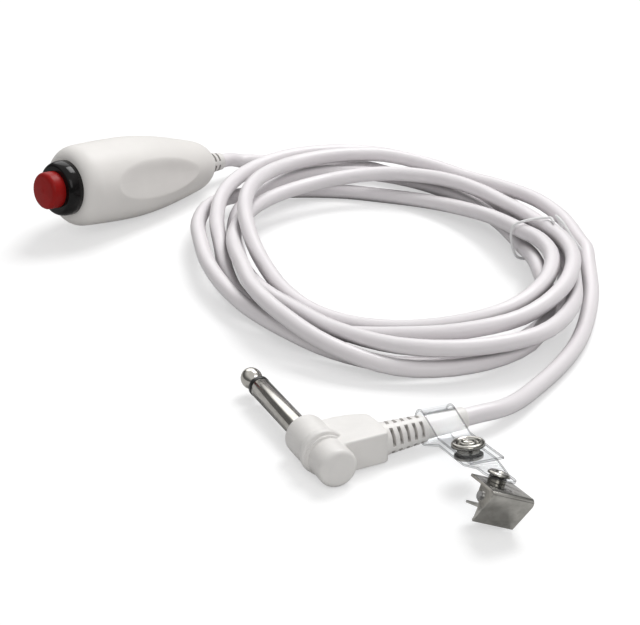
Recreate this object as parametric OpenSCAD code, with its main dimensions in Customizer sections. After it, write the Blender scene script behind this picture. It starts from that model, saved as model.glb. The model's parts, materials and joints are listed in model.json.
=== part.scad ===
/* [Handset shell] */
// Length of the shell, from the bezel seat to the tail face
shell_length = 64.6; // [63:0.2:67]
// Largest radius of the shell
belly_radius = 14.7; // [14.4:0.1:15.4]
// Distance from the bezel seat to the largest radius
belly_at = 23; // [21.5:0.5:25]
// Radius that the nose would have without its rounding
nose_radius = 13.9; // [13.5:0.1:14.2]
// Radius of the flat seat under the bezel
seat_radius = 10; // [9.9:0.1:10.3]
// Length over which the nose is rounded
nose_round = 5.5; // [5:0.1:6]
// Radius of the shell at its tail shoulder
tail_radius = 7.8; // [7.6:0.1:8.2]
// Length over which the tail is rounded
tail_round = 8; // [7.5:0.1:8.5]
// Thickness of the front wall that carries the switch
front_wall = 2.4; // [2.2:0.1:2.8]
// Radius of the room round the switch
room_radius = 11.3; // [11.1:0.1:11.5]
// Distance from the bezel seat to the end of that room
room_end = 20; // [19:0.5:21]
// Radius of the channel for the conductors
channel_radius = 4; // [3.8:0.1:4.4]
// Radius of the scooped thumb dish
dish_radius = 55; // [52:1:60]
// Depth of the thumb dish below the shell's surface
dish_depth = 2.7; // [2.4:0.1:2.9]
// Distance from the bezel seat to the middle of the thumb dish
dish_at = 41; // [39.5:0.5:42.5]
// Radius of the locating pins between the shell halves
dowel_radius = 0.9; // [0.8:0.05:1]
// Length that a locating pin stands out
dowel_length = 1.6; // [1.4:0.1:1.8]

/* [Push switch] */
// Radius of the red cap
cap_radius = 6.4; // [6.3:0.05:6.5]
// Distance that the cap's face stands out of the bezel seat
cap_out = 10.4; // [9.9:0.1:10.8]
// Radius of the rounding round the cap's face
cap_round = 1.4; // [1:0.1:1.8]
// Travel of the button
button_travel = 2.5; // [2.2:0.1:2.6]
// Radius of the bezel's rim
bezel_radius = 9.6; // [9.4:0.1:9.8]
// Distance that the bezel stands out of its seat
bezel_out = 5.2; // [4.9:0.1:5.5]
// Length of the bezel's straight rim
bezel_rim = 1.7; // [1.5:0.1:2]
// Radius of the bezel's flat front
bezel_front = 7.9; // [7.7:0.1:8.1]
// Outer radius of the threaded bush behind the bezel
bush_radius = 7.9; // [7.8:0.05:8]
// Length of the threaded bush
bush_length = 9; // [8.6:0.1:9.4]
// Radius over the corners of the clamping nut
nut_radius = 10.6; // [10.2:0.1:10.8]
// Thickness of the clamping nut
nut_thickness = 2.6; // [2.4:0.1:3]
// Radius of the plunger
plunger_radius = 1.9; // [1.8:0.05:2]
// Length of the contact chamber behind the bush
chamber_length = 6; // [5.8:0.1:6.4]
// Thickness of the contact bridge
bridge_thickness = 0.6; // [0.5:0.1:0.8]
// Distance of the fixed contacts from the axis
contact_offset = 4; // [3.8:0.1:4.1]
// Radius of the spring's wire
spring_wire = 0.35; // [0.3:0.05:0.4]
// Radius of the spring's windings, to the middle of the wire
spring_radius = 4.2; // [4:0.1:4.4]
// Turns of the return spring
spring_turns = 6; // [5:1:7]

/* [Cord] */
// Diameter of the cord
cord_diameter = 5.2; // [5:0.1:5.4]
// Distance that the handset's strain relief stands out of the shell
relief_out = 7.5; // [7:0.1:8]
// Radius of the handset's strain relief at the shell
relief_radius = 3.9; // [3.8:0.05:4]
// Radius of the strain relief where the cord leaves it
relief_end_radius = 3.1; // [3:0.05:3.2]
// Radius of one conductor
conductor_radius = 0.65; // [0.6:0.05:0.7]

/* [Plug] */
// Radius of the jack's sleeve
jack_radius = 3.175; // [3.1:0.025:3.2]
// Length of the jack's sleeve outside the collar
sleeve_length = 23.6; // [23.2:0.1:24.2]
// Thickness of the black insulator ring
ring_thickness = 1.4; // [1.2:0.1:1.6]
// Length of the jack's tip
tip_length = 6.4; // [6.2:0.1:6.8]
// Radius of the plug's round body
barrel_radius = 5.6; // [5.5:0.05:5.8]
// Distance from the boot's axis to the flat end of the round body
barrel_back = 9.2; // [8.8:0.1:9.6]
// Distance from the boot's axis to the groove
groove_at = 6.7; // [6.4:0.1:7]
// Distance from the boot's axis to the front of the collar
collar_front = 17.9; // [17.4:0.1:18.4]
// Distance from the jack's axis to the end of the squarish block
block_end = 17; // [16.5:0.1:17.5]
// Width of the squarish block
block_width = 9.8; // [9.5:0.1:10.2]
// Length of the ribbed part of the boot
ribbed_length = 13.6; // [13.4:0.1:14]
// Radius of the boot at the block
boot_radius = 4.75; // [4.6:0.05:4.9]
// Radius of the boot at the end of its ribs
boot_neck_radius = 3.95; // [3.9:0.05:4.1]
// Radius of the boot's plain nose
boot_nose_radius = 3.25; // [3.15:0.05:3.35]
// Length of the boot's plain nose
boot_nose_length = 13.4; // [13:0.1:13.8]
// Slots along one side of the boot
boot_slots = 5; // [4:1:5]
// Width of one slot
slot_width = 1; // [0.8:0.05:1.1]

/* [Strap] */
// Width of the strap
strap_width = 9.5; // [9:0.1:10]
// Thickness of the strap
strap_thickness = 0.6; // [0.5:0.05:0.7]
// Inner radius of the strap's loop round the boot
loop_radius = 4.6; // [4.5:0.05:4.7]
// Distance from the loop's axis to the snap
snap_at = 21.5; // [20.5:0.5:22]
// Distance from the loop's axis to the end of the flap
flap_end = 34; // [33:0.5:34.5]
// Distance from the loop's axis to the rivet
rivet_at = 40.8; // [40:0.2:42]
// Radius of the snap's cap
snap_radius = 4.6; // [4.4:0.1:4.7]
// Angle that the flap opens by
flap_opening = 60; // [50:5:65]

/* [Sheet clip] */
// Width of the clip
clip_width = 12; // [11.6:0.1:12.6]
// Thickness of the clip's sheet metal
clip_sheet = 0.7; // [0.6:0.05:0.75]
// Distance from the rivet to the ridge of the clip
ridge_at = 12.6; // [12.2:0.1:13]
// Length of the jaw plate from the ridge to the mouth
jaw_length = 12.7; // [12.4:0.1:12.9]
// Angle between the handle plate and the jaw plate
jaw_fold = 54; // [53:0.5:56]
// Distance that the handle plate runs on past the rivet
handle_tail = 3.2; // [3:0.1:3.6]
// Radius of the hinge pin
hinge_radius = 0.8; // [0.75:0.05:0.9]
// Angle that the jaws open by
jaw_opening = 25; // [20:1:26]

/* [Hidden] */
$fn = 64;

// Overrun of a cut past the face that it opens
overrun = 0.5;
// Radial clearance of a sliding fit and of a seated one
slide_gap = 0.08;
seat_gap = 0.05;
// Gap between soft or loose neighbours
free_gap = 0.3;
// Largest extent of the half-space that splits the shell
half_space = 200;

// Outline of the shell: a rounded nose, a belly and a long taper to a rounded tail
nose_power = 2.2;
tail_sweep = 180 * 0.62;
tail_drop_share = 0.55;
tail_power = 2.5;
function nose_factor(u) = sqrt(1 - pow(max(0, 1 - u / nose_round), nose_power));
function tail_factor(u) = sqrt(1 - tail_drop_share * pow(max(0, (u - shell_length + tail_round) / tail_round), tail_power));
function belly_line(u) =
  u < belly_at
  ? belly_radius - (belly_radius - nose_radius) * pow((belly_at - u) / belly_at, 2)
  : belly_radius - (belly_radius - tail_radius)
    * (1 - cos(tail_sweep * (u - belly_at) / (shell_length - belly_at))) / (1 - cos(tail_sweep));
function shell_radius(u) = ((belly_line(u) - seat_radius) * nose_factor(u) + seat_radius) * tail_factor(u);
nose_shares = [0, 0.04, 0.12, 0.25, 0.45, 0.7, 1];
body_shares = [for (k = [1:9]) k / 10];
tail_shares = [0, 0.25, 0.45, 0.6, 0.75, 0.88, 1];
shell_stations = concat(
  [for (s = nose_shares) s * nose_round],
  [for (s = body_shares) nose_round + s * (shell_length - tail_round - nose_round)],
  [for (s = tail_shares) shell_length - tail_round + s * tail_round]
);

// Rest attitude of the handset: it lies on its belly and its tail, rolled so that the dish faces up a little
handset_roll = 22;
tail_contact = shell_length - tail_round;
handset_tilt = asin((belly_radius - shell_radius(tail_contact)) / (tail_contact - belly_at));
nose_height = max([for (u = shell_stations) u * sin(handset_tilt) + shell_radius(u) * cos(handset_tilt)]);
handset_reach = shell_length + relief_out;
handset_low = -cap_out * cos(handset_tilt) - (cap_radius - cap_round) * sin(handset_tilt);
handset_high = handset_reach * cos(handset_tilt) + relief_end_radius * sin(handset_tilt);
nose_x = -(handset_low + handset_high) / 2;

// Places an object of the handset, whose own frame has its axis along +X from the bezel seat to the tail
module in_handset() {
  translate([nose_x, 0, nose_height])
    rotate([0, handset_tilt, 0])
      rotate([handset_roll, 0, 0])
        children();
}

// Turns a revolved outline so that its axis lies along +X
module along_x() {
  rotate([0, 90, 0]) children();
}

// Cylinder along +X between two stations
module rod_x(from, to, r, sides = $fn) {
  translate([from, 0, 0])
    along_x() cylinder(r = r, h = to - from, $fn = sides);
}

// Conductor pocket for the strain relief's flange, near the tail
flange_back = shell_length - 5.4;
flange_front = flange_back - 1.6;
flange_radius = 5;

module shell_outside() {
  along_x() rotate_extrude()
    polygon(concat([[0, 0]], [for (u = shell_stations) [shell_radius(u), u]], [[0, shell_length]]));
}

module shell_inside() {
  cone_end = room_end + room_radius - channel_radius;
  along_x() rotate_extrude()
    polygon([
      [0, front_wall], [room_radius, front_wall], [room_radius, room_end], [channel_radius, cone_end],
      [channel_radius, flange_front - seat_gap], [flange_radius + seat_gap, flange_front - seat_gap],
      [flange_radius + seat_gap, flange_back], [relief_radius + seat_gap, flange_back],
      [relief_radius + seat_gap, shell_length + overrun], [0, shell_length + overrun]
    ]);
  rod_x(-overrun, front_wall + overrun, bush_radius + slide_gap);
}

// Scoop for the thumb on the near half
module thumb_dish() {
  translate([dish_at, -(shell_radius(dish_at) - dish_depth + dish_radius), 0])
    sphere(r = dish_radius, $fn = 128);
}

// Half of the shell on one side of the parting plane
module shell_half(side) {
  difference() {
    intersection() {
      shell_outside();
      translate([-half_space / 2, side < 0 ? -half_space : 0, -half_space / 2])
        cube(half_space);
    }
    shell_inside();
    if (side < 0) thumb_dish();
  }
}

// Places of the locating pins, beside the switch and beside the conductors
dowel_front = room_end - 4;
dowel_back = shell_length - 18;
module at_dowels() {
  for (s = [-1, 1]) {
    translate([dowel_front, 0, s * (shell_radius(dowel_front) + room_radius) / 2]) children();
    translate([dowel_back, 0, s * (shell_radius(dowel_back) + channel_radius) / 2]) children();
  }
}

module shell_near() {
  color("whitesmoke") in_handset() {
    shell_half(-1);
    at_dowels() rotate([-90, 0, 0])
      translate([0, 0, -overrun]) cylinder(r = dowel_radius, h = dowel_length + overrun, $fn = 24);
  }
}

module shell_far() {
  color("whitesmoke") in_handset() difference() {
    shell_half(1);
    at_dowels() rotate([-90, 0, 0])
      translate([0, 0, -overrun])
        cylinder(r = dowel_radius + seat_gap, h = dowel_length + free_gap + overrun, $fn = 24);
  }
}

// Ring-shaped slots of a strain relief, broken by straight bars along it
module relief_slots(stations, width, core, outside, bar, bar_angles) {
  difference() {
    for (x = stations) {
      difference() {
        rod_x(x - width / 2, x + width / 2, outside);
        rod_x(x - width, x + width, core);
      }
    }
    for (a = bar_angles) {
      rotate([a, 0, 0])
        translate([min(stations) - width, -bar / 2, -outside - overrun])
          cube([max(stations) - min(stations) + 2 * width, bar, 2 * (outside + overrun)]);
    }
  }
}

relief_slot = 0.6;
relief_slot_shares = [0.62, 0.84];
module handset_boot() {
  core = cord_diameter / 2 + 0.05;
  color("whitesmoke") in_handset() difference() {
    union() {
      rod_x(flange_front, flange_back - seat_gap, flange_radius);
      rod_x(flange_back - overrun, shell_length, relief_radius);
      translate([shell_length, 0, 0])
        along_x() cylinder(r1 = relief_radius, r2 = relief_end_radius, h = relief_out);
    }
    relief_slots([for (s = relief_slot_shares) shell_length + s * relief_out], relief_slot, core,
      relief_radius + overrun, relief_radius, [90]);
  }
}

// The switch's stations along the handset's axis
bore_radius = cap_radius + slide_gap;
front_plate = 1.6;
body_end = bush_length + chamber_length;
spring_seat = -3;
skirt_end = 1;
bridge_front = bush_length + front_plate + 0.15;
contact_face = bridge_front + bridge_thickness + button_travel + 0.1;

module switch_bezel() {
  steps = 8;
  curve = [for (k = [0:steps]) [
    bezel_front + (bezel_radius - bezel_front) * cos(90 * k / steps),
    -bezel_rim - (bezel_out - bezel_rim) * sin(90 * k / steps)
  ]];
  color([0.05, 0.05, 0.06]) in_handset() along_x() rotate_extrude()
    polygon(concat([[bezel_radius, 0]], curve,
      [[bore_radius, -bezel_out], [bore_radius, bush_length], [bush_radius, bush_length], [bush_radius, 0]]));
}

module switch_body() {
  chamber_radius = contact_offset + 1.4;
  color([0.1, 0.1, 0.11]) in_handset() difference() {
    rod_x(bush_length, body_end, bush_radius);
    rod_x(bush_length - overrun, body_end, plunger_radius + slide_gap);
    rod_x(bush_length + front_plate, body_end + overrun, chamber_radius);
  }
}

module switch_nut() {
  color("silver") in_handset() difference() {
    rod_x(front_wall + seat_gap, front_wall + seat_gap + nut_thickness, nut_radius, 6);
    rod_x(0, front_wall + nut_thickness + 2 * overrun, bush_radius + seat_gap);
  }
}

blade_width = 2.4;
blade_thickness = 0.8;
blade_reach = 4;
base_thickness = 1.8;
module blades(gap) {
  for (s = [-1, 1]) {
    translate([body_end - overrun, -blade_width / 2 - gap, s * contact_offset - blade_thickness / 2 - gap])
      cube([base_thickness + blade_reach + overrun, blade_width + 2 * gap, blade_thickness + 2 * gap]);
  }
}

module terminal_base() {
  color([0.35, 0.2, 0.1]) in_handset() difference() {
    rod_x(body_end + seat_gap, body_end + base_thickness, bush_radius);
    blades(seat_gap);
  }
}

contact_head = 0.9;
module terminals() {
  color("gold") in_handset() {
    blades(0);
    for (s = [-1, 1]) {
      translate([0, 0, s * contact_offset]) rod_x(contact_face, body_end, contact_head, 24);
    }
  }
}

// Cap with a rounded front edge, a slight crown and a skirt round the spring
module button_cap() {
  steps = 5;
  crown = 0.3;
  skirt_inside = spring_radius + spring_wire + 0.5;
  edge = [for (k = [0:steps]) [
    cap_radius - cap_round + cap_round * sin(90 * k / steps),
    -cap_out + crown + cap_round - cap_round * cos(90 * k / steps)
  ]];
  color([0.72, 0.07, 0.1]) in_handset() along_x() rotate_extrude()
    polygon(concat([[0, -cap_out]], edge,
      [[cap_radius, skirt_end], [skirt_inside, skirt_end], [skirt_inside, spring_seat], [0, spring_seat]]));
}

module plunger() {
  collar = plunger_radius + 0.3;
  collar_front = bridge_front + bridge_thickness;
  color("white") in_handset() {
    rod_x(spring_seat, collar_front + 0.6, plunger_radius, 32);
    rod_x(collar_front, collar_front + 0.6, collar, 32);
  }
}

module contact_bridge() {
  color("goldenrod") in_handset() difference() {
    rod_x(bridge_front, bridge_front + bridge_thickness, contact_offset + contact_head, 48);
    rod_x(bridge_front - overrun, bridge_front + bridge_thickness + overrun, plunger_radius, 32);
  }
}

// Tube along points: each ring square to the path, its first side turned towards a fixed guide direction
function unit(v) = v / norm(v);
function path_direction(p, i) =
  unit(i == 0 ? p[1] - p[0] : i == len(p) - 1 ? p[i] - p[i - 1] : unit(p[i + 1] - p[i]) + unit(p[i] - p[i - 1]));
function ring_points(centre, direction, guide, r, sides) =
  let (a = unit(cross(direction, guide)), b = cross(a, direction))
  [for (k = [0:sides - 1]) centre + r * (cos(360 * (k + 0.5) / sides) * a + sin(360 * (k + 0.5) / sides) * b)];

module tube(points, r, sides, guides) {
  rings = len(points);
  corners = [for (i = [0:rings - 1]) each ring_points(points[i], path_direction(points, i), guides[i], r, sides)];
  walls = [for (i = [0:rings - 2], k = [0:sides - 1])
    let (a = i * sides + k, b = i * sides + (k + 1) % sides)
    each [[a, a + sides, b + sides], [a, b + sides, b]]];
  near_end = [for (k = [1:sides - 2]) [0, k, k + 1]];
  last = (rings - 1) * sides;
  far_end = [for (k = [1:sides - 2]) [last, last + k + 1, last + k]];
  polyhedron(points = corners, faces = concat(walls, near_end, far_end), convexity = 10);
}

// Helix of a wound spring along +X, with its end turns close to their seats
module spring_along_x(from, to, turns, r, wire) {
  rings_per_turn = 8;
  count = turns * rings_per_turn;
  points = [for (i = [0:count]) [
    from + wire + (to - from - 2 * wire) * i / count,
    r * cos(360 * i / rings_per_turn),
    r * sin(360 * i / rings_per_turn)
  ]];
  guides = [for (i = [0:count]) [0, cos(360 * i / rings_per_turn), sin(360 * i / rings_per_turn)]];
  tube(points, wire, 6, guides);
}

module return_spring() {
  color("silver") in_handset()
    spring_along_x(spring_seat + seat_gap, bush_length - seat_gap, spring_turns, spring_radius, spring_wire);
}

// Two conductors from the solder blades to the strain relief
module conductors() {
  from = body_end + base_thickness + blade_reach + seat_gap;
  to = flange_front - free_gap;
  near = contact_offset - 1.4;
  far = conductor_radius + free_gap;
  slope = atan((near - far) / (to - from));
  color([0.8, 0.3, 0.1]) in_handset() for (s = [-1, 1]) {
    translate([from, 0, s * near]) rotate([0, s * slope, 0])
      rod_x(0, (to - from) / cos(slope), conductor_radius, 16);
  }
}

// Where the cord leaves the handset's strain relief, and its heading there
exit_place = [
  nose_x + handset_reach * cos(handset_tilt), 0, nose_height - handset_reach * sin(handset_tilt)
];
exit_heading = [cos(handset_tilt), 0, -sin(handset_tilt)];

// Coil of spare cord: its distance from the middle and its height every 30 degrees, from the lead to the tail
coil_middle = [31.4, -94.9, 0];
coil_start = 45;
coil_step = 15;
coil_radii = [
  72.25, 58, 52.5, 54.25, 67, 85.25, 80, 62.25, 52, 50.75, 59.5, 63.75,
  59.25, 51.5, 45.5, 45.5, 55, 81.25, 83.5, 70.5, 55.25, 52, 52.25, 53,
  53, 50, 46.75, 51, 66.5, 76.5, 69.75, 61.5, 57.5, 56.5, 66.25, 75,
  75.25, 66.5, 57.75, 58.25, 63, 73.5, 77.5, 68.5, 62.25, 63.25, 70.75, 64.75,
  52.75, 44, 40.5, 43.75, 59.25, 70.25, 63, 53, 46.75, 47.5, 54.25, 62,
  64.75, 60.25, 61.25, 64.5
];
coil_heights = [
  4.2, 3.2, 7.1, 9.6, 9.5, 11.1, 10.9, 10.4, 6.8, 4.4, 7.3, 9.7,
  8.1, 5.9, 5, 5.9, 10.6, 6.3, 5.4, 12.7, 12.6, 11.1, 10.6, 10.2,
  11.3, 11.9, 12.4, 14.5, 16.3, 13.1, 9.1, 4.1, 3.4, 7.3, 12.1, 13,
  10.1, 4.8, 4, 4.1, 3.2, 2.7, 3.1, 6.1, 7.3, 8.5, 7.6, 3.5,
  2.7, 5.2, 8.8, 12.5, 15.8, 13.4, 7.9, 6.1, 10, 15.4, 17.7, 15.9,
  13.9, 9.9, 10.1, 8
];
coil_rings = 2 * (len(coil_radii) - 1);
function control(v, k) =
  k < 0 ? 2 * v[0] - v[1] : k >= len(v) ? 2 * v[len(v) - 1] - v[len(v) - 2] : v[k];
function between(v, i) =
  let (k = floor(i / 2))
  i % 2 == 0 ? v[k] : (9 * (control(v, k) + control(v, k + 1)) - control(v, k - 1) - control(v, k + 2)) / 16;
coil_points = [for (i = [0:coil_rings])
  let (a = coil_start - coil_step * i, r = between(coil_radii, i))
  coil_middle + [r * cos(a), r * sin(a), between(coil_heights, i)]];
coil_first = coil_points[0];
coil_last = coil_points[coil_rings];
coil_away = unit(coil_points[0] - coil_points[1]);
coil_ahead = unit(coil_last - coil_points[coil_rings - 1]);

// Least clear distance of the coil to itself, over rings more than a quarter turn apart
apart = 8;
coil_gap = min([for (i = [0:coil_rings - apart], j = [i + apart:coil_rings]) norm(coil_points[i] - coil_points[j])])
  - cord_diameter;
echo(coil_gap = coil_gap);

// Guide directions that keep a tube's first side level
function level_guides(points) = [for (p = points) [0, 0, 1]];

cord_sides = 10;
lead_points = concat(
  [exit_place, exit_place + cord_diameter * exit_heading],
  [[50.5, -1, 5.8], [54, -3.5, 5.4], [60, -10, 5], [66, -17.5, 4.8], [72.5, -26.5, 4.5]],
  [coil_first + cord_diameter * coil_away, coil_first]
);
module cord_lead() {
  color("whitesmoke") tube(lead_points, cord_diameter / 2, cord_sides, level_guides(lead_points));
}

coil_sides = 6;
module cord_coil() {
  color("whitesmoke") tube(coil_points, cord_diameter / 2, coil_sides, level_guides(coil_points));
}

// Place and heading of the plug, whose own frame has the boot along +X and the jack along +Y
plug_place = [-78.4, -173.6, 5.8];
plug_heading = -19;

// The tail ends square to the nose of the plug's boot
nose_station = block_end + ribbed_length + boot_nose_length;
nose_heading = [cos(plug_heading), sin(plug_heading), 0];
nose_place = plug_place + nose_station * nose_heading;
tail_points = concat(
  [coil_last, coil_last + cord_diameter * coil_ahead],
  [
    [69, -150, 6], [63, -155.5, 4.7], [56, -161.5, 3.6], [47, -167.7, 3], [37.5, -173.5, 2.8],
    [27.5, -178.7, 2.8], [17, -182.8, 2.8], [6, -185.9, 2.8], [-5.5, -188.4, 3.1], [-14, -190.2, 3.7],
    [-21, -191.1, 4.5], [-26.8, -190.9, 5.3]
  ],
  [nose_place + cord_diameter * nose_heading, nose_place]
);
module cord_tail() {
  color("whitesmoke") tube(tail_points, cord_diameter / 2, cord_sides, level_guides(tail_points));
}

// Twist tie round the coil: distance from the coil's middle, height, and offset along the cord
tie_angle = -48;
tie_wire = 0.45;
tie_table = [
  [54.5, 18.7, 5.5], [54.2, 18.5, 3], [53.8, 18.4, 1.2], [52, 18.3, 0.9], [49, 17.9, 0.8], [45.5, 17, 0.7],
  [41.8, 15.4, 0.6], [40.9, 12.6, 0.5], [41.2, 9.3, 0.4], [41.9, 6.2, 0.3], [43.4, 3.4, 0.2], [47, 2.6, 0.1],
  [52, 1.4, 0], [57.6, 0.6, -0.1], [60.2, 0.9, -0.2], [61.7, 2.7, -0.3], [61.8, 4.8, -0.3], [61.2, 6.3, -0.3],
  [59.6, 7.9, -0.4], [58.6, 10.5, -0.4], [57.8, 13.5, -0.5], [56.6, 16.8, -0.5], [55.6, 18.3, -0.4],
  [55.7, 18.7, 0.8], [56.2, 18.9, 2.2], [58, 17.5, 4.5], [61, 13.5, 7], [63.7, 10.4, 8.6]
];
tie_out = [cos(tie_angle), sin(tie_angle), 0];
tie_along = [sin(tie_angle), -cos(tie_angle), 0];
module twist_tie() {
  points = [for (t = tie_table) coil_middle + t[0] * tie_out + [0, 0, t[1]] + t[2] * tie_along];
  color("white") tube(points, tie_wire, 6, [for (p = points) tie_along]);
}

// Places an object of the plug
module in_plug() {
  translate(plug_place) rotate([0, 0, plug_heading]) children();
}

// Cylinder along +Y between two stations
module rod_y(from, to, r, sides = $fn) {
  translate([0, from, 0])
    rotate([-90, 0, 0]) cylinder(r = r, h = to - from, $fn = sides);
}

// Outline revolved round +Y, given as radius and station
module revolved_y(points) {
  rotate([-90, 0, 0]) rotate_extrude() polygon(points);
}

// Square bar along +X with rounded long edges
module rounded_bar(from, to, width, height, edge) {
  translate([from, 0, 0]) rotate([90, 0, 90]) linear_extrude(height = to - from) {
    square([width - 2 * edge, height], center = true);
    square([width, height - 2 * edge], center = true);
    for (a = [-1, 1], b = [-1, 1]) {
      translate([a * (width / 2 - edge), b * (height / 2 - edge)]) circle(r = edge, $fn = 32);
    }
  }
}

barrel_round = 2.2;
groove_width = 0.7;
groove_depth = 0.5;
block_height = 9.6;
block_edge = 1.2;
sleeve_root = 5;
root_radius = jack_radius + 0.2;
core_radius = 3.4;
core_length = 3.6;
pocket_front = block_end - 2.8;
pocket_back = block_end - 1.2;
pocket_radius = 4.1;
boot_throat = 3.2;

module plug_housing() {
  steps = 5;
  round_end = [for (k = [0:steps]) [
    barrel_radius - barrel_round + barrel_round * sin(90 * k / steps),
    -barrel_back + barrel_round - barrel_round * cos(90 * k / steps)
  ]];
  color("whitesmoke") in_plug() difference() {
    union() {
      revolved_y(concat([[0, -barrel_back]], round_end,
        [[barrel_radius, groove_at - groove_width / 2], [0, groove_at - groove_width / 2]]));
      rounded_bar(0, block_end, block_width, block_height, block_edge);
    }
    rod_y(sleeve_root - seat_gap, groove_at + overrun, root_radius + seat_gap);
    rod_y(-core_length, sleeve_root, core_radius, 48);
    rod_x(0, pocket_front + overrun, boot_throat, 48);
    rod_x(pocket_front, pocket_back, pocket_radius, 48);
    rod_x(pocket_back - overrun, block_end + overrun, boot_throat, 48);
  }
}

module plug_collar() {
  collar_radius = barrel_radius - 0.3;
  nose = 1.6;
  color("whitesmoke") in_plug() difference() {
    revolved_y([
      [0, groove_at - groove_width / 2], [barrel_radius - groove_depth, groove_at - groove_width / 2],
      [barrel_radius - groove_depth, groove_at + groove_width / 2], [collar_radius, groove_at + groove_width / 2],
      [collar_radius, collar_front - nose], [collar_radius - nose * 0.3, collar_front - nose * 0.3],
      [collar_radius - nose, collar_front], [0, collar_front]
    ]);
    rod_y(0, collar_front + overrun, root_radius + seat_gap);
  }
}

// Slots are set at an even pitch along the ribbed part
module plug_boot() {
  pitch = ribbed_length / (boot_slots + 0.8);
  core = cord_diameter / 2 + 0.1;
  neck_end = block_end + ribbed_length;
  nose_end = neck_end + boot_nose_length;
  lead_in = 0.6;
  stations = [for (k = [0:boot_slots - 1]) block_end + (k + 1.1) * pitch];
  color("whitesmoke") in_plug() difference() {
    along_x() rotate_extrude() polygon([
      [0, pocket_front + seat_gap], [pocket_radius - seat_gap, pocket_front + seat_gap],
      [pocket_radius - seat_gap, pocket_back - seat_gap], [boot_throat - seat_gap, pocket_back - seat_gap],
      [boot_throat - seat_gap, block_end], [boot_radius, block_end], [boot_neck_radius, neck_end],
      [boot_nose_radius, neck_end + lead_in], [boot_nose_radius, nose_end - lead_in],
      [boot_nose_radius - lead_in / 2, nose_end], [0, nose_end]
    ]);
    relief_slots(stations, slot_width, core, boot_radius + overrun, 1.5, [45, 135]);
  }
}

sleeve_end = collar_front + sleeve_length;
rod_radius = 1;
liner_radius = 1.9;
module jack_sleeve() {
  flat = 0.35;
  color([0.78, 0.76, 0.72]) in_plug() difference() {
    revolved_y([
      [0, sleeve_root], [root_radius, sleeve_root], [root_radius, collar_front - seat_gap],
      [jack_radius, collar_front - seat_gap], [jack_radius, sleeve_end - flat],
      [jack_radius - flat / 2, sleeve_end], [0, sleeve_end]
    ]);
    rod_y(sleeve_root - overrun, sleeve_end + overrun, liner_radius + seat_gap, 32);
  }
}

module jack_insulator() {
  color([0.03, 0.03, 0.03]) in_plug() difference() {
    union() {
      rod_y(sleeve_end, sleeve_end + ring_thickness, jack_radius);
      rod_y(sleeve_root, sleeve_end + overrun, liner_radius, 32);
    }
    rod_y(sleeve_root - overrun, sleeve_end + ring_thickness + overrun, rod_radius + seat_gap, 24);
  }
}

// Tip: a waist behind a ball, on the rod that runs back to the lug
tip_radius_shares = [0.74, 0.7, 0.8, 0.95, 1, 0.97, 0.86, 0.68, 0.42];
tip_station_shares = [0, 0.14, 0.26, 0.4, 0.54, 0.68, 0.82, 0.93, 1];
module jack_tip() {
  base = sleeve_end + ring_thickness;
  color([0.78, 0.76, 0.72]) in_plug() {
    revolved_y(concat([[0, base]],
      [for (k = [0:len(tip_radius_shares) - 1])
        [jack_radius * tip_radius_shares[k], base + tip_length * tip_station_shares[k]]],
      [[0, base + tip_length]]));
    rod_y(sleeve_root - 3, base + overrun, rod_radius, 24);
  }
}

// Solder lug on the sleeve's root, with a hole for the conductor
module plug_lug() {
  lug = 0.6;
  tail = 4.6;
  tail_width = 2;
  eye = 0.5;
  color("gold") in_plug() difference() {
    union() {
      rod_y(sleeve_root - lug - seat_gap, sleeve_root - seat_gap, liner_radius + 0.9, 32);
      translate([-tail_width / 2, sleeve_root - lug - tail, -liner_radius - 0.9])
        cube([tail_width, tail, lug]);
    }
    rod_y(sleeve_root - 2 * lug - overrun, sleeve_root + overrun, rod_radius + free_gap, 24);
    translate([0, sleeve_root - tail, -core_radius]) cylinder(r = eye, h = core_radius, $fn = 24);
  }
}

module plug_conductors() {
  color([0.8, 0.3, 0.1]) in_plug() for (s = [-1, 1]) {
    translate([0, 0, s * (conductor_radius + free_gap / 2)])
      rod_x(rod_radius + free_gap, pocket_front, conductor_radius, 16);
  }
}

// The strap's frame: its origin on the boot's axis in the loop, +X along the strap, +Y across it
strap_station = 35.5;
strap_heading = -115.5;
strap_pitch = 11.6;
rivet_roll = -23;
strap_low = -1.5;
strap_high = 0.4;
straight_from = 12;
twist_from = 29;
twist_to = 37.5;
twist_steps = 6;
loop_middle = loop_radius + strap_thickness / 2;
module in_strap() {
  translate(plug_place)
    rotate([0, 0, plug_heading])
      translate([strap_station, 0, 0])
        rotate([0, -strap_pitch, strap_heading - plug_heading])
          children();
}

// Angle at which a straight stretch that ends at a point touches the loop, above or below it
function touch_angle(x, z, side) = atan2(z, x) + side * acos(loop_middle / norm([x, z]));

// Strap whose side view follows points, with mitred corners
function mitre(p, i) =
  let (d = i == 0 ? p[1] - p[0] : unit(p[i] - p[i - 1]), e = i == len(p) - 1 ? d : unit(p[i + 1] - p[i]),
    m = unit(unit(d) + e))
  [-m[1], m[0]] / (m * e);
module strap_band(points) {
  last = len(points) - 1;
  above = [for (i = [0:last]) points[i] + strap_thickness / 2 * mitre(points, i)];
  below = [for (i = [last:-1:0]) points[i] - strap_thickness / 2 * mitre(points, i)];
  side_view(-strap_width / 2, strap_width / 2) polygon(concat(above, below));
}

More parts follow.
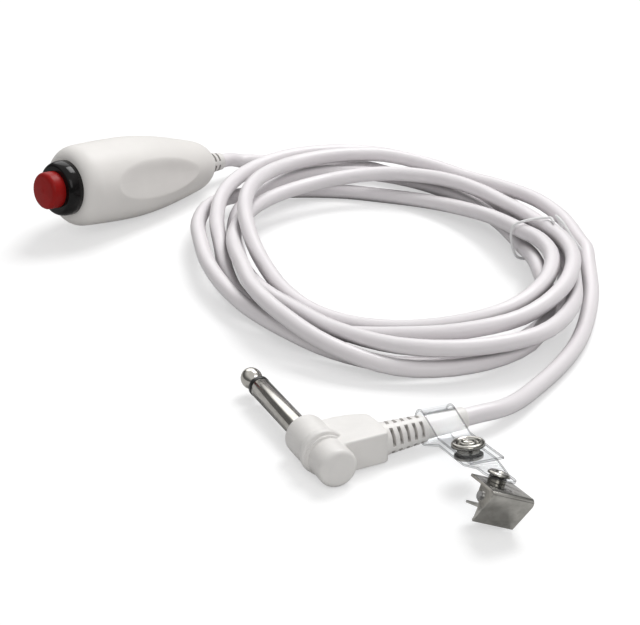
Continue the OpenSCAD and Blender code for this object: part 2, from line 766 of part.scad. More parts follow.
// Strip of strap along +X through points, turned about its own line by an angle at each
module ribbon(points, turns, width, thickness) {
  corners = [for (i = [0:len(points) - 1]) each [for (c = [[-1, -1], [1, -1], [1, 1], [-1, 1]])
    let (y = c[0] * width / 2, z = c[1] * thickness / 2)
    points[i] + [0, y * cos(turns[i]) - z * sin(turns[i]), y * sin(turns[i]) + z * cos(turns[i])]]];
  last = 4 * (len(points) - 1);
  walls = [for (i = [0:len(points) - 2], k = [0:3])
    let (a = 4 * i + k, b = 4 * i + (k + 1) % 4)
    each [[a, a + 4, b + 4], [a, b + 4, b]]];
  ends = [[0, 1, 2], [0, 2, 3], [last, last + 2, last + 1], [last, last + 3, last + 2]];
  polyhedron(points = corners, faces = concat(walls, ends));
}

low_angle = touch_angle(straight_from, strap_low, -1);
high_angle = touch_angle(straight_from, strap_high, 1);
high_touch = loop_middle * [cos(high_angle), sin(high_angle)];
high_slope = atan2(strap_high - high_touch[1], straight_from - high_touch[0]);
flap_root = high_touch + free_gap * [cos(high_slope), sin(high_slope)];

// Hole for the snap's post at a level of the strap
module post_hole(level) {
  translate([snap_at, 0, level - strap_thickness])
    cylinder(r = post_radius + seat_gap, h = 2 * strap_thickness, $fn = 24);
}

// The twisted stretch is a hair thinner and narrower, and runs into its neighbours
loop_steps = 24;
tab_steps = 12;
twist_inset = 0.04;
module strap() {
  loop_turn = (360 - high_angle + low_angle) / loop_steps;
  loop = [for (k = [0:loop_steps]) loop_middle * [cos(high_angle + k * loop_turn), sin(high_angle + k * loop_turn)]];
  twist = twist_to - twist_from;
  shares = concat([-1 / twist], [for (k = [0:twist_steps]) k / twist_steps], [1 + 1 / twist]);
  tab = strap_width / 2;
  color([0.9, 0.93, 0.95, 0.5]) in_strap() {
    difference() {
      strap_band(concat(loop, [[straight_from, strap_low], [twist_from, strap_low]]));
      post_hole(strap_low);
    }
    ribbon([for (s = shares) [twist_from + s * twist, 0, strap_low]],
      [for (s = shares) rivet_roll * min(1, max(0, s))],
      strap_width - twist_inset, strap_thickness - twist_inset);
    translate([rivet_at, 0, strap_low]) rotate([rivet_roll, 0, 0]) difference() {
      translate([0, 0, -strap_thickness / 2]) linear_extrude(height = strap_thickness)
        polygon(concat([[twist_to - rivet_at, -tab]],
          [for (k = [0:tab_steps]) tab * [sin(180 * k / tab_steps), -cos(180 * k / tab_steps)]],
          [[twist_to - rivet_at, tab]]));
      translate([0, 0, -strap_thickness])
        cylinder(r = rivet_radius + seat_gap, h = 2 * strap_thickness, $fn = 32);
    }
  }
}

module strap_flap() {
  color([0.9, 0.93, 0.95, 0.5]) in_strap() difference() {
    strap_band([flap_root, [straight_from, strap_high], [flap_end, strap_high]]);
    post_hole(strap_high);
  }
}

// The snap's own levels, from the lower layer up
post_radius = 1;
stud_radius = 1.6;
socket_bore = 2.05;
low_top = strap_low + strap_thickness / 2;
low_bottom = strap_low - strap_thickness / 2;
high_top = strap_high + strap_thickness / 2;
high_bottom = strap_high - strap_thickness / 2;
module in_snap() {
  in_strap() translate([snap_at, 0, 0]) children();
}

// Cap with a rolled rim, a groove and a raised disc, as rings of one revolved outline
module snap_cap() {
  radius_shares = [1, 1, 0.93, 0.8, 0.72, 0.62, 0.56, 0.5, 0.46, 0.4, 0.36];
  height_shares = [0, 0.55, 0.9, 1, 0.75, 0.4, 0.4, 0.8, 0.95, 0.95, 0.6];
  height = 1.3;
  color("silver") in_snap() {
    translate([0, 0, high_top]) rotate_extrude()
      polygon(concat(
        [for (k = [0:len(radius_shares) - 1]) [snap_radius * radius_shares[k], height * height_shares[k]]],
        [[0, height * height_shares[len(height_shares) - 1]], [0, 0]]));
    translate([0, 0, high_bottom]) cylinder(r = post_radius, h = strap_thickness + seat_gap, $fn = 24);
  }
}

module snap_socket() {
  wall = 1.1;
  depth = high_bottom - low_top - free_gap;
  color("silver") in_snap() translate([0, 0, high_bottom - depth]) difference() {
    cylinder(r = socket_bore + wall, h = depth);
    translate([0, 0, -overrun]) cylinder(r = socket_bore, h = depth - seat_gap);
  }
}

module snap_stud() {
  flange = 0.3;
  height = high_bottom - low_top - free_gap - overrun;
  color("silver") in_snap() translate([0, 0, low_top]) difference() {
    union() {
      cylinder(r = socket_bore + 0.9, h = flange - seat_gap);
      cylinder(r = stud_radius - 0.2, h = height);
      translate([0, 0, height / 2]) cylinder(r = stud_radius, h = height / 2);
    }
    translate([0, 0, -overrun]) cylinder(r = post_radius + seat_gap, h = height + 2 * overrun, $fn = 24);
  }
}

module snap_post() {
  head = 0.7;
  color("silver") in_snap() {
    translate([0, 0, low_bottom - head]) cylinder(r = snap_radius - 0.6, h = head);
    translate([0, 0, low_bottom - overrun]) cylinder(r = post_radius, h = strap_thickness + 2 * overrun - seat_gap, $fn = 24);
  }
}

// The rivet's frame: origin on the handle plate's top, +X to the ridge, +Z up through the strap
rivet_radius = 1.5;
rivet_foot = 2.4;
spacer_height = 1.2;
spacer_wall = 0.9;
module in_rivet() {
  in_strap() translate([rivet_at, 0, strap_low]) rotate([rivet_roll, 0, 0])
    translate([0, 0, -strap_thickness / 2 - spacer_height - 2 * seat_gap])
      children();
}

module clip_rivet() {
  foot_height = 0.5;
  head = 3.1;
  head_height = 0.8;
  // Head's profile, in shares of its radius and its height
  head_shares = [[0, 0], [1, 0], [1, 0.4], [0.85, 1], [0.4, 1], [0.3, 0.5], [0, 0.5]];
  strap_level = spacer_height + 2 * seat_gap + strap_thickness;
  color("silver") in_rivet() {
    translate([0, 0, -clip_sheet - slide_gap - foot_height]) cylinder(r = rivet_foot, h = foot_height, $fn = 48);
    translate([0, 0, -clip_sheet - slide_gap - foot_height])
      cylinder(r = rivet_radius, h = clip_sheet + slide_gap + foot_height + strap_level, $fn = 48);
    translate([0, 0, strap_level]) rotate_extrude()
      polygon([for (s = head_shares) [s[0] * head, s[1] * head_height]]);
  }
}

module rivet_spacer() {
  color("silver") in_rivet() translate([0, 0, seat_gap]) difference() {
    cylinder(r = rivet_radius + spacer_wall, h = spacer_height, $fn = 48);
    translate([0, 0, -overrun]) cylinder(r = rivet_radius + seat_gap, h = spacer_height + 2 * overrun, $fn = 48);
  }
}

// Side view of the clip, X along the handle plate and Z up, from the rivet
jaw_down = [-cos(jaw_fold), -sin(jaw_fold)];
jaw_back = [-sin(jaw_fold), cos(jaw_fold)];
ridge = [ridge_at, 0];
mouth = ridge + jaw_length * jaw_down;
hinge_down = 7.2;
hinge_in = 4.3;
hinge_at = ridge + hinge_down * jaw_down + hinge_in * jaw_back;
ear_radius = 1.7;
ear_step = 0.02;
ear_foot = clip_sheet / 2;
ear_corner = [-1.5, -0.75];
// Round end of an ear about the hinge, from below the pin to the side away from the ridge
ear_arc = [for (a = [-60:-20:-180]) hinge_at + ear_radius * [cos(a), sin(a)]];
mouth_gap = 0.1;

// Extrudes a side view across the clip, between two distances from its middle
module side_view(from, to) {
  translate([0, to, 0]) rotate([90, 0, 0]) linear_extrude(height = to - from) children();
}

module clip_front_jaw() {
  half = clip_width / 2;
  bend = 1.3;
  steps = 4;
  inner = ridge + clip_sheet * [-1 / tan(jaw_fold / 2), -1];
  bend_centre = ridge + bend * [-1 / tan(jaw_fold / 2), -1];
  bend_arc = [for (k = [0:steps])
    bend_centre + bend * [sin((180 - jaw_fold) * k / steps), cos((180 - jaw_fold) * k / steps)]];
  plate_inner_end = mouth + clip_sheet * jaw_back;
  color("silver") in_rivet() difference() {
    union() {
      side_view(-half, half) polygon(concat(
        [[-handle_tail, 0]], bend_arc, [mouth, plate_inner_end, inner, [-handle_tail, -clip_sheet]]));
      for (s = [-1, 1]) {
        side_view(s > 0 ? half - clip_sheet : ear_step - half, s > 0 ? half - ear_step : clip_sheet - half) {
          polygon(concat([[hinge_at[0] - ear_radius, -clip_sheet / 2], ridge + ear_corner], [mouth + ear_foot * jaw_back],
            ear_arc));
        }
      }
    }
    translate([0, 0, -clip_sheet - overrun])
      cylinder(r = rivet_radius + slide_gap, h = clip_sheet + 2 * overrun, $fn = 48);
    side_view(-half - overrun, half + overrun) translate(hinge_at) circle(r = hinge_radius + seat_gap, $fn = 32);
  }
}

// Rear jaw: its plate lies behind the front one, turns under the hinge and ends in the lower handle
module clip_rear_jaw() {
  half = clip_width / 2;
  ear_gap = 0.15;
  ear_outside = half - clip_sheet - ear_gap;
  bite = mouth + (clip_sheet + mouth_gap) * jaw_back;
  knee_up = 4.2;
  knee_in = 0.6;
  knee = bite - knee_up * jaw_down + knee_in * jaw_back;
  heel = hinge_at + [-1.2, -2.6];
  toe_inset = 0.2;
  toe_drop = 3.8;
  toe = [toe_inset - handle_tail, hinge_at[1] - toe_drop];
  drop = [0, -clip_sheet];
  heel_share = 1.2;
  ear_share = 0.9;
  color("silver") in_rivet() difference() {
    union() {
      side_view(-ear_outside, ear_outside) polygon([
        bite, knee, heel, toe, toe + drop, heel + heel_share * drop,
        knee + clip_sheet * jaw_back + drop, bite + clip_sheet * jaw_back
      ]);
      for (s = [-1, 1]) {
        side_view(s > 0 ? ear_outside - clip_sheet : -ear_outside, s > 0 ? ear_outside : clip_sheet - ear_outside) {
          polygon([knee, heel, hinge_at - [ear_radius, 0], hinge_at + [ear_share * ear_radius, 0]]);
          translate(hinge_at) circle(r = ear_radius, $fn = 32);
        }
      }
    }
    side_view(-half - overrun, half + overrun) translate(hinge_at) circle(r = hinge_radius + slide_gap, $fn = 32);
  }
}

module clip_pin() {
  half = clip_width / 2;
  head = 0.5;
  head_rim = 0.35;
  color("silver") in_rivet() {
    side_view(-half - head, half + head) translate(hinge_at) circle(r = hinge_radius, $fn = 32);
    for (s = [-1, 1]) {
      side_view(s > 0 ? half : -half - head, s > 0 ? half + head : -half)
        translate(hinge_at) circle(r = hinge_radius + head_rim, $fn = 32);
    }
  }
}

// Torsion spring round the pin, with a short leg under the front handle, clear of the rivet's foot
torsion_wire = 0.3;
torsion_turns = 4;
module clip_spring() {
  rings_per_turn = 8;
  pin_gap = 0.25;
  turn_gap = 0.45;
  leg_gap = 0.15;
  r = hinge_radius + torsion_wire + pin_gap;
  pitch = 2 * torsion_wire + turn_gap;
  span = pitch * torsion_turns;
  count = torsion_turns * rings_per_turn;
  start = 75;
  coil = [for (i = [0:count])
    let (a = start - 360 * i / rings_per_turn)
    [hinge_at[0] + r * cos(a), -span / 2 + pitch * i / rings_per_turn, hinge_at[1] + r * sin(a)]];
  upper = [rivet_foot + free_gap + torsion_wire, coil[0][1], -clip_sheet - torsion_wire - leg_gap];
  color("silver") in_rivet()
    tube(concat([upper], coil), torsion_wire, 6,
      concat([[0, 1, 0]], [for (i = [0:count]) [0, 1, 0]]));
}

shell_near();
shell_far();
handset_boot();
switch_bezel();
switch_body();
switch_nut();
terminal_base();
terminals();
button_cap();
plunger();
contact_bridge();
return_spring();
conductors();
cord_lead();
cord_coil();
cord_tail();
twist_tie();
plug_housing();
plug_collar();
plug_boot();
jack_sleeve();
jack_insulator();
jack_tip();
plug_lug();
plug_conductors();
strap();
strap_flap();
snap_cap();
snap_socket();
snap_stud();
snap_post();
clip_rivet();
rivet_spacer();
clip_front_jaw();
clip_rear_jaw();
clip_pin();
clip_spring();
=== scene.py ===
import json
import math

import bmesh
import bpy
from mathutils import Matrix, Quaternion, Vector


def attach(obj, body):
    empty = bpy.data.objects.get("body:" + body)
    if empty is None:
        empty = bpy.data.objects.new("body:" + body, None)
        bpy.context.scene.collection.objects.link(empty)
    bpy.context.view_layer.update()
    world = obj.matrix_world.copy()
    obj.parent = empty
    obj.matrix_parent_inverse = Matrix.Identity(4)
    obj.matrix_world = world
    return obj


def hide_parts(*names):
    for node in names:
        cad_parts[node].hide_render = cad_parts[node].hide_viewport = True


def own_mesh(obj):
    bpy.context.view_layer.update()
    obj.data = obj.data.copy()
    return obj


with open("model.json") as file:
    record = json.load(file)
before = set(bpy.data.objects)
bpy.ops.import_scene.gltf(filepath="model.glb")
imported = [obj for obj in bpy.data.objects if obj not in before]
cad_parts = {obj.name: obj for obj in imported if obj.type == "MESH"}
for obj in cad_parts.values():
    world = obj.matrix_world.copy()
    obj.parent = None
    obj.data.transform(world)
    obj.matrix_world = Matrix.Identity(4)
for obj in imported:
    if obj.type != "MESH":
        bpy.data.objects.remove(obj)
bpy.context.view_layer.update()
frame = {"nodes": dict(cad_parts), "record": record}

MM = 0.001

# Camera at the photograph's viewpoint, solved from the cord, the plug and the handset
VIEW_AZIMUTH = math.radians(-44.63)
VIEW_HEIGHT = math.radians(26.71)
VIEW_DISTANCE = 0.5744
VIEW_TARGET = Vector((-0.01058, -0.10423, 0))
VIEW_ROLL = math.radians(-0.53)
VIEW_LENS = 100.69
VIEW_SENSOR = 36


def make_camera():
    data = bpy.data.cameras.new("camera")
    data.sensor_width = VIEW_SENSOR
    data.lens = VIEW_LENS
    data.clip_start = 0.01
    data.clip_end = 20
    camera = bpy.data.objects.new("camera", data)
    bpy.context.scene.collection.objects.link(camera)
    back = Vector((
        math.sin(VIEW_AZIMUTH) * math.cos(VIEW_HEIGHT),
        -math.cos(VIEW_AZIMUTH) * math.cos(VIEW_HEIGHT),
        math.sin(VIEW_HEIGHT),
    ))
    camera.location = VIEW_TARGET + VIEW_DISTANCE * back
    camera.rotation_mode = "QUATERNION"
    roll = Quaternion((0, 0, 1), VIEW_ROLL)
    camera.rotation_quaternion = (-back).to_track_quat("-Z", "Y") @ roll
    bpy.context.scene.camera = camera


make_camera()


# Materials, as node trees in object coordinates, so every grain has its real size
NOISE_ROUGHNESS = 0.55
CLOUD_RANGE = (0.35, 0.65)
WANDER_RANGE = (0.3, 0.7)
GRAIN_STRENGTH = 0.4
# Painted shade for cracks and crevices: the colour that ambient occlusion darkens towards
PAINTED_CRACK_SHADE = (0.2, 0.19, 0.195)
CRACK_OPENING = 0.75
CRACK_SAMPLES = 12

# Places of the Mix node's sockets, for colours and for plain values
MIX_FACTOR = 0
COLOUR_FIRST, COLOUR_SECOND, COLOUR_RESULT = 6, 7, 2
VALUE_FIRST, VALUE_SECOND, VALUE_RESULT = 2, 3, 0


def new_material(name):
    material = bpy.data.materials.new(name)
    material.use_nodes = True
    tree = material.node_tree
    tree.nodes.clear()
    output = tree.nodes.new("ShaderNodeOutputMaterial")
    return material, tree, output


def noise(tree, scale, detail=3.0):
    place = tree.nodes.new("ShaderNodeTexCoord")
    texture = tree.nodes.new("ShaderNodeTexNoise")
    texture.inputs["Scale"].default_value = scale
    texture.inputs["Detail"].default_value = detail
    texture.inputs["Roughness"].default_value = NOISE_ROUGHNESS
    tree.links.new(place.outputs["Object"], texture.inputs["Vector"])
    return texture.outputs["Fac"]


def ranged(tree, value, low, high, out_low, out_high):
    """Maps a value from one range to another, held at its ends."""
    node = tree.nodes.new("ShaderNodeMapRange")
    sockets = ("From Min", "From Max", "To Min", "To Max")
    for socket, number in zip(sockets, (low, high, out_low, out_high)):
        node.inputs[socket].default_value = number
    tree.links.new(value, node.inputs["Value"])
    return node.outputs["Result"]


def blended(tree, factor, first, second):
    node = tree.nodes.new("ShaderNodeMix")
    node.data_type = "RGBA"
    tree.links.new(factor, node.inputs[MIX_FACTOR])
    node.inputs[COLOUR_FIRST].default_value = (*first, 1)
    node.inputs[COLOUR_SECOND].default_value = (*second, 1)
    return node.outputs[COLOUR_RESULT]


def bumped(tree, height, strength, distance):
    node = tree.nodes.new("ShaderNodeBump")
    node.inputs["Strength"].default_value = strength
    node.inputs["Distance"].default_value = distance
    tree.links.new(height, node.inputs["Height"])
    return node.outputs["Normal"]


def combined(tree, operation, first, second, clamp=False):
    """Two values put together by a Math node."""
    node = tree.nodes.new("ShaderNodeMath")
    node.operation = operation
    node.use_clamp = clamp
    tree.links.new(first, node.inputs[0])
    tree.links.new(second, node.inputs[1])
    return node.outputs[0]


def dot_product(tree):
    node = tree.nodes.new("ShaderNodeVectorMath")
    node.operation = "DOT_PRODUCT"
    return node


def mixed_shader(tree, factor, first, second):
    node = tree.nodes.new("ShaderNodeMixShader")
    tree.links.new(factor, node.inputs["Fac"])
    tree.links.new(first, node.inputs[1])
    tree.links.new(second, node.inputs[2])
    return node.outputs["Shader"]


def with_painted_crack_shade(tree, colour_socket, reach, depth):
    """Painted shade: darkens a colour by ambient occlusion in cracks and under edges, where contact
    shadows fall.
    """
    near = tree.nodes.new("ShaderNodeAmbientOcclusion")
    near.samples = CRACK_SAMPLES
    near.inputs["Distance"].default_value = reach
    mix = tree.nodes.new("ShaderNodeMix")
    mix.data_type = "RGBA"
    mix.blend_type = "MULTIPLY"
    shade = ranged(tree, near.outputs["AO"], 0, CRACK_OPENING, depth, 0)
    tree.links.new(shade, mix.inputs[MIX_FACTOR])
    tree.links.new(colour_socket, mix.inputs[COLOUR_FIRST])
    mix.inputs[COLOUR_SECOND].default_value = (*PAINTED_CRACK_SHADE, 1)
    return mix.outputs[COLOUR_RESULT]


def surface(name, colour, shade, rough, cloud, grain, grain_height=0.00002, metallic=0.0,
            crack_painted_shade=None, **sockets):
    """Principled finish: two close colours in clouds, a fine grain, a wandering roughness and, if
    asked, painted shade in cracks.
    """
    material, tree, output = new_material(name)
    shader = tree.nodes.new("ShaderNodeBsdfPrincipled")
    base = blended(tree, ranged(tree, noise(tree, cloud), *CLOUD_RANGE, 0, 1), colour, shade)
    # Painted contact shade in cracks and crevices, where asked
    if crack_painted_shade:
        base = with_painted_crack_shade(tree, base, *crack_painted_shade)
    wander = ranged(tree, noise(tree, cloud * 4), *WANDER_RANGE, *rough)
    bump = bumped(tree, noise(tree, grain), GRAIN_STRENGTH, grain_height)
    tree.links.new(base, shader.inputs["Base Color"])
    tree.links.new(wander, shader.inputs["Roughness"])
    tree.links.new(bump, shader.inputs["Normal"])
    shader.inputs["Metallic"].default_value = metallic
    for socket, value in sockets.items():
        shader.inputs[socket.replace("_", " ")].default_value = value
    tree.links.new(shader.outputs["BSDF"], output.inputs["Surface"])
    material.diffuse_color = (*colour, 1)
    return material


STRAIGHT_THROUGH = 0.95
VINYL_FILTER = (0.95, 0.955, 0.96)
VINYL_HAZE = (0.08, 0.16)
HAZE_SCALE, RIPPLE_SCALE = 300, 260
RIPPLE_STRENGTH, RIPPLE_HEIGHT = 0.35, 0.00008
# Painted shade along the sheet's cut edges, in place of the dark lines that refraction gives: its width
# and colour
CUT_EDGE_WIDTH = 0.0005
PAINTED_EDGE_SHADE = (0.035, 0.034, 0.033)


def vinyl_body(tree, tint):
    """The sheet's own shine and haze."""
    shader = tree.nodes.new("ShaderNodeBsdfPrincipled")
    shader.inputs["Base Color"].default_value = (*tint, 1)
    shader.inputs["Transmission Weight"].default_value = 0.9
    shader.inputs["IOR"].default_value = 1.45
    shader.inputs["Specular IOR Level"].default_value = 0.15
    haze = ranged(tree, noise(tree, HAZE_SCALE), *WANDER_RANGE, *VINYL_HAZE)
    ripple = bumped(tree, noise(tree, RIPPLE_SCALE, 2), RIPPLE_STRENGTH, RIPPLE_HEIGHT)
    tree.links.new(haze, shader.inputs["Roughness"])
    tree.links.new(ripple, shader.inputs["Normal"])
    return shader.outputs["BSDF"]


def cut_edges(tree):
    """Mask for the painted edge shade: one at the sheet's cut edges and zero on its faces."""
    softened = tree.nodes.new("ShaderNodeBevel")
    softened.inputs["Radius"].default_value = CUT_EDGE_WIDTH
    place = tree.nodes.new("ShaderNodeNewGeometry")
    turn = dot_product(tree)
    tree.links.new(softened.outputs["Normal"], turn.inputs[0])
    tree.links.new(place.outputs["Normal"], turn.inputs[1])
    return ranged(tree, turn.outputs["Value"], 0.995, 0.9, 0, 1)


def clear_vinyl(name, tint):
    """Clear soft sheet: most light goes straight through its faces, and its cut edges get painted
    shade, a dark colour standing in for the darkening that refraction gives there.
    """
    material, tree, output = new_material(name)
    through = tree.nodes.new("ShaderNodeBsdfTransparent")
    through.inputs["Color"].default_value = (*VINYL_FILTER, 1)
    rays = tree.nodes.new("ShaderNodeLightPath")
    share = ranged(tree, rays.outputs["Is Shadow Ray"], 0, 1, STRAIGHT_THROUGH, 1)
    face = mixed_shader(tree, share, vinyl_body(tree, tint), through.outputs["BSDF"])
    # Painted shade: a dark surface on the cut edges, in place of the sheet's refraction
    edge = tree.nodes.new("ShaderNodeBsdfPrincipled")
    edge.inputs["Base Color"].default_value = (*PAINTED_EDGE_SHADE, 1)
    edge.inputs["Roughness"].default_value = 0.25
    edge.inputs["Specular IOR Level"].default_value = 0.2
    sheet = mixed_shader(tree, cut_edges(tree), face, edge.outputs["BSDF"])
    tree.links.new(sheet, output.inputs["Surface"])
    material.diffuse_color = (*tint, 0.4)
    return material


# Each row: name, colour, second colour, roughness, cloud and grain scale, and what isn't usual
# A crack entry paints contact shade into crevices: the reach of the darkening and its depth
FINISHES = {
    "shell_plastic": surface(
        "satin_white_shell", (0.87, 0.845, 0.815), (0.84, 0.815, 0.787), (0.42, 0.5), 60, 1500,
        Specular_IOR_Level=0.4),
    "relief_vinyl": surface(
        "white_relief_vinyl", (0.85, 0.825, 0.80), (0.81, 0.787, 0.765), (0.4, 0.5), 200, 1800,
        crack_painted_shade=(0.0015, 0.9)),
    "bezel_black": surface(
        "black_bezel", (0.004, 0.004, 0.004), (0.008, 0.007, 0.007), (0.1, 0.16), 150, 2500,
        grain_height=0.000004, Specular_IOR_Level=0.22),
    "button_red": surface(
        "red_button", (0.34, 0.006, 0.005), (0.29, 0.005, 0.004), (0.35, 0.45), 120, 2000,
        grain_height=0.000008, Specular_IOR_Level=0.2, Subsurface_Weight=0.1, Subsurface_Scale=0.0015),
    "switch_black": surface(
        "black_switch_body", (0.02, 0.02, 0.022), (0.03, 0.03, 0.031), (0.4, 0.5), 200, 2000),
    "terminal_board": surface(
        "brown_board", (0.18, 0.08, 0.035), (0.13, 0.055, 0.025), (0.5, 0.6), 500, 3000),
    "plunger_white": surface(
        "white_plunger", (0.78, 0.78, 0.76), (0.74, 0.74, 0.72), (0.35, 0.45), 200, 2500),
    "contact_brass": surface(
        "contact_brass", (0.72, 0.52, 0.22), (0.62, 0.43, 0.17), (0.22, 0.35), 400, 4000, metallic=1.0),
    "spring_steel": surface(
        "spring_wire", (0.5, 0.5, 0.51), (0.4, 0.4, 0.41), (0.25, 0.38), 600, 5000, metallic=1.0),
    "nut_steel": surface(
        "zinc_nut", (0.6, 0.6, 0.62), (0.5, 0.5, 0.5), (0.3, 0.45), 300, 3000, metallic=1.0),
    "wire_red": surface(
        "red_wire", (0.45, 0.02, 0.015), (0.38, 0.018, 0.012), (0.35, 0.45), 300, 3000),
    "cord_vinyl": surface(
        "white_cord_vinyl", (0.88, 0.845, 0.86), (0.85, 0.815, 0.832), (0.3, 0.42), 45, 1300,
        grain_height=0.00003, crack_painted_shade=(0.006, 1.0)),
    "tie_white": surface(
        "white_tie", (0.92, 0.92, 0.92), (0.88, 0.88, 0.88), (0.4, 0.5), 300, 2500),
    "plug_vinyl": surface(
        "white_plug_vinyl", (0.87, 0.85, 0.825), (0.83, 0.81, 0.787), (0.36, 0.46), 150, 1500,
        grain_height=0.00003, crack_painted_shade=(0.0012, 0.85)),
    "jack_nickel": surface(
        "turned_nickel", (0.62, 0.60, 0.56), (0.52, 0.5, 0.46), (0.08, 0.16), 250, 3500,
        grain_height=0.000004, metallic=1.0),
    "insulator_black": surface(
        "black_ring", (0.006, 0.006, 0.006), (0.01, 0.01, 0.01), (0.25, 0.35), 400, 3000),
    "strap_clear": clear_vinyl("clear_strap_vinyl", (0.96, 0.965, 0.965)),
    "snap_nickel": surface(
        "pressed_snap_nickel", (0.45, 0.44, 0.41), (0.34, 0.33, 0.3), (0.1, 0.2), 500, 4000,
        grain_height=0.000006, metallic=1.0, crack_painted_shade=(0.0012, 1.0)),
    "clip_nickel": surface(
        "pressed_clip_nickel", (0.55, 0.535, 0.5), (0.42, 0.41, 0.38), (0.14, 0.24), 350, 3000,
        grain_height=0.000006, metallic=1.0, crack_painted_shade=(0.0015, 0.9)),
}
SLOT_OF = {part["node"]: part["material_slot"] for part in frame["record"]["subparts"]}
BODY_OF = {
    node: body for body, nodes in frame["record"]["behaviour"]["bodies"].items() for node in nodes
}


def set_finish(piece, slot):
    piece.data.materials.clear()
    piece.data.materials.append(FINISHES[slot])


for name, node in frame["nodes"].items():
    set_finish(node, SLOT_OF[name])


def dress(piece, node, *others):
    """The piece stands for CAD nodes, rides on their body and takes their slot."""
    set_finish(piece, SLOT_OF[node])
    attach(piece, BODY_OF[node])
    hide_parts(node, *others)
    return piece


def mesh_piece(name, mesh):
    piece = bpy.data.objects.new(name, mesh)
    bpy.context.scene.collection.objects.link(piece)
    return piece


# Cord, one smooth tube along the route of the lead, the coil and the tail, in millimetres
CORD_DIAMETER = 5.2 * MM

# Coil, by its distance from the middle and its height every 30 degrees, as the solids have them
COIL_MIDDLE = (31.4, -94.9)
COIL_START = 45
COIL_HALF_STEP = 15
COIL_RADII = (
    72.25, 58, 52.5, 54.25, 67, 85.25, 80, 62.25, 52, 50.75, 59.5, 63.75,
    59.25, 51.5, 45.5, 45.5, 55, 81.25, 83.5, 70.5, 55.25, 52, 52.25, 53,
    53, 50, 46.75, 51, 66.5, 76.5, 69.75, 61.5, 57.5, 56.5, 66.25, 75,
    75.25, 66.5, 57.75, 58.25, 63, 73.5, 77.5, 68.5, 62.25, 63.25, 70.75, 64.75,
    52.75, 44, 40.5, 43.75, 59.25, 70.25, 63, 53, 46.75, 47.5, 54.25, 62,
    64.75, 60.25, 61.25, 64.5,
)
COIL_HEIGHTS = (
    4.2, 3.2, 7.1, 9.6, 9.5, 11.1, 10.9, 10.4, 6.8, 4.4, 7.3, 9.7,
    8.1, 5.9, 5, 5.9, 10.6, 6.3, 5.4, 12.7, 12.6, 11.1, 10.6, 10.2,
    11.3, 11.9, 12.4, 14.5, 16.3, 13.1, 9.1, 4.1, 3.4, 7.3, 12.1, 13,
    10.1, 4.8, 4, 4.1, 3.2, 2.7, 3.1, 6.1, 7.3, 8.5, 7.6, 3.5,
    2.7, 5.2, 8.8, 12.5, 15.8, 13.4, 7.9, 6.1, 10, 15.4, 17.7, 15.9,
    13.9, 9.9, 10.1, 8,
)

# Route from the handset to the coil, and from the coil to the plug
LEAD_POINTS = (
    (40.923, 0, 8.208), (46.064, 0, 7.426), (50.5, -1, 5.8), (54, -3.5, 5.4), (60, -10, 5),
    (66, -17.5, 4.8), (72.5, -26.5, 4.5), (81.19, -38.78, 4.42),
)
TAIL_POINTS = (
    (74.3, -144.93, 7.63), (69, -150, 6), (63, -155.5, 4.7), (56, -161.5, 3.6), (47, -167.7, 3),
    (37.5, -173.5, 2.8), (27.5, -178.7, 2.8), (17, -182.8, 2.8), (6, -185.9, 2.8),
    (-5.5, -188.4, 3.1), (-14, -190.2, 3.7), (-21, -191.1, 4.5), (-26.8, -190.9, 5.3),
    (-31.88, -189.62, 5.8), (-36.797, -187.925, 5.8),
)


def control(values, k):
    """Control value k, carried on in a straight line past either end."""
    if k < 0:
        return 2 * values[0] - values[1]
    if k >= len(values):
        return 2 * values[-1] - values[-2]
    return values[k]


def between(values, i):
    """Value at half step i: the even ones are control values, the others lie smoothly between."""
    k = i // 2
    if i % 2 == 0:
        return values[k]
    near = control(values, k) + control(values, k + 1)
    return (9 * near - control(values, k - 1) - control(values, k + 2)) / 16


def coil_points():
    points = []
    for i in range(2 * len(COIL_RADII) - 1):
        angle = math.radians(COIL_START - COIL_HALF_STEP * i)
        radius = between(COIL_RADII, i)
        points.append((
            COIL_MIDDLE[0] + radius * math.cos(angle),
            COIL_MIDDLE[1] + radius * math.sin(angle),
            between(COIL_HEIGHTS, i),
        ))
    return points


def smooth_path(points, steps):
    """Centripetal curve through points, with a number of steps to each stretch."""
    p = [Vector(q) for q in points]
    p = [2 * p[0] - p[1]] + p + [2 * p[-1] - p[-2]]
    path = []
    for i in range(1, len(p) - 2):
        knots = [0.0]
        for a, b in zip(p[i - 1:i + 2], p[i:i + 3]):
            knots.append(knots[-1] + math.sqrt((b - a).length))
        t0, t1, t2, t3 = knots
        for j in range(steps):
            t = t1 + (t2 - t1) * j / steps
            a1 = p[i - 1].lerp(p[i], (t - t0) / (t1 - t0))
            a2 = p[i].lerp(p[i + 1], (t - t1) / (t2 - t1))
            a3 = p[i + 1].lerp(p[i + 2], (t - t2) / (t3 - t2))
            b1 = a1.lerp(a2, (t - t0) / (t2 - t0))
            b2 = a2.lerp(a3, (t - t1) / (t3 - t1))
            path.append(b1.lerp(b2, (t - t1) / (t2 - t1)))
    path.append(p[-2])
    return path


